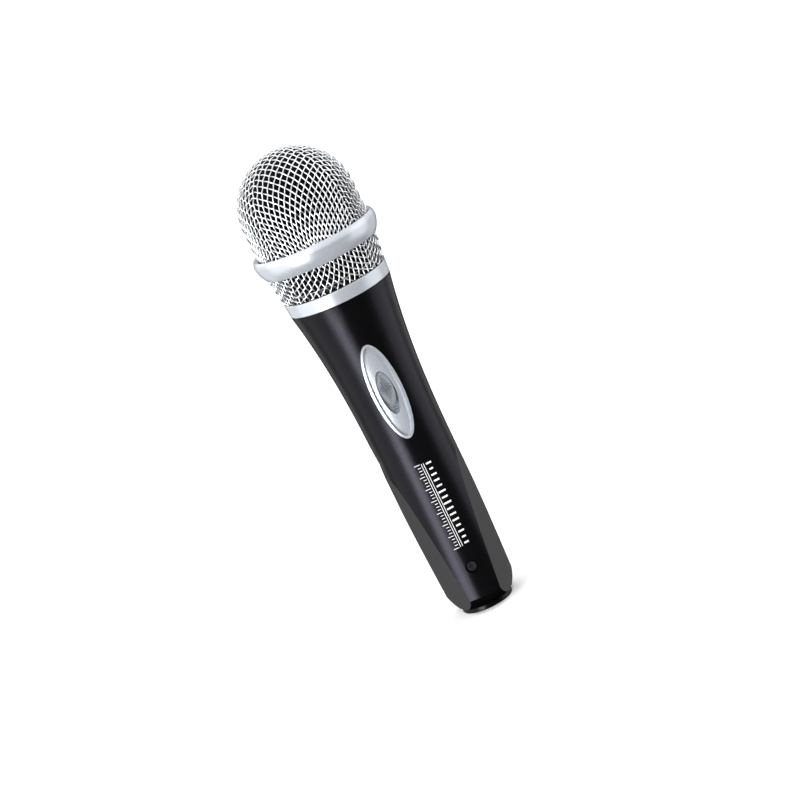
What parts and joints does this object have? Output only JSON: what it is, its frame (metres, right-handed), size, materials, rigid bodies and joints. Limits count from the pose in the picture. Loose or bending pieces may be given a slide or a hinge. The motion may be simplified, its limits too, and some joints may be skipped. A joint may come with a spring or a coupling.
{
  "type": "handheld dynamic microphone",
  "caption": "Handheld dynamic microphone with a woven-wire ball grille, a wide rounded band, a flared black handle with side flats, an oval slide-switch plate and a tail plug socket.",
  "frame": {"origin": "centre of the connector lip at the tail, on the surface that it stands on", "axes": "+Z from the tail to the top of the grille, -Y out of the front where the slide switch is"},
  "size_m": [0.0498, 0.0498, 0.1925],
  "materials": {
    "cast_black": "matte",
    "screw_black": "satin",
    "insert_black": "matte",
    "contact_silver": "satin",
    "pearl_silver": "satin",
    "slider_silver": "satin",
    "switch_plastic": "matte",
    "tin_plate": "satin",
    "contact_brass": "satin",
    "phenolic": "matte",
    "gasket_rubber": "matte",
    "woven_steel": "satin",
    "foam_black": "matte",
    "mount_rubber": "matte",
    "capsule_plastic": "satin",
    "felt": "matte",
    "soft_iron": "satin",
    "magnet_nickel": "polished",
    "coil_copper": "satin",
    "film": "gloss",
    "cloth": "matte",
    "board_green": "satin",
    "lead_red": "satin",
    "lead_white": "satin",
    "lead_yellow": "satin"
  },
  "bodies": {
    "handle": {"handle": "cast_black", "retaining_screw": "screw_black", "connector_insert": "insert_black", "contact_pin_1": "contact_silver", "contact_pin_2": "contact_silver", "contact_pin_3": "contact_silver", "ground_tab": "contact_brass", "switch_plate": "pearl_silver", "switch_bracket": "tin_plate", "bracket_screws": "tin_plate", "switch_can": "tin_plate", "switch_base": "phenolic", "switch_terminals": "contact_brass", "shock_mount": "mount_rubber", "rear_chamber": "capsule_plastic", "felt_ring": "felt", "capsule_housing": "capsule_plastic", "magnet_yoke": "soft_iron", "magnet": "magnet_nickel", "pole_piece": "soft_iron", "diaphragm_surround": "film", "clamp_ring": "capsule_plastic", "resonator_cap": "capsule_plastic", "dust_screen": "cloth", "terminal_board": "board_green", "solder_tags": "contact_silver", "lead_capsule_to_switch": "lead_red", "lead_switch_to_pin": "lead_white", "lead_capsule_to_pin": "lead_yellow"},
    "slider": {"switch_slider": "slider_silver", "switch_actuator": "switch_plastic", "switch_wiper": "contact_brass"},
    "gasket": {"neck_gasket": "gasket_rubber"},
    "grille": {"grille_collar": "pearl_silver", "lower_mesh": "woven_steel", "grille_band": "pearl_silver", "upper_mesh": "woven_steel", "foam_liner": "foam_black"},
    "diaphragm": {"diaphragm_dome": "film", "voice_coil": "coil_copper"}
  },
  "joints": [
    {"name": "switch_slide", "type": "slide", "parent": "handle", "child": "slider", "axis": [0, 0, -1], "range_m": [0, 0.0036]},
    {"name": "grille_turn", "type": "hinge", "parent": "handle", "child": "gasket", "pos_m": [0, 0, 0.1325], "axis": [0, 0, 1], "range_deg": [0, 1440]},
    {"name": "grille_lift", "type": "slide", "parent": "gasket", "child": "grille", "axis": [0, 0, 1], "range_m": [0, 0.00501]},
    {"name": "diaphragm_swing", "type": "slide", "parent": "handle", "child": "diaphragm", "axis": [0, 0, 1], "range_m": [-0.0002, 0.0002], "stiffness_N_per_m": 200, "deforming": ["diaphragm_surround"]}
  ],
  "couplings": [
    {"joint": "grille_lift", "follows": "grille_turn", "m_per_rad": 0.00019894}
  ]
}
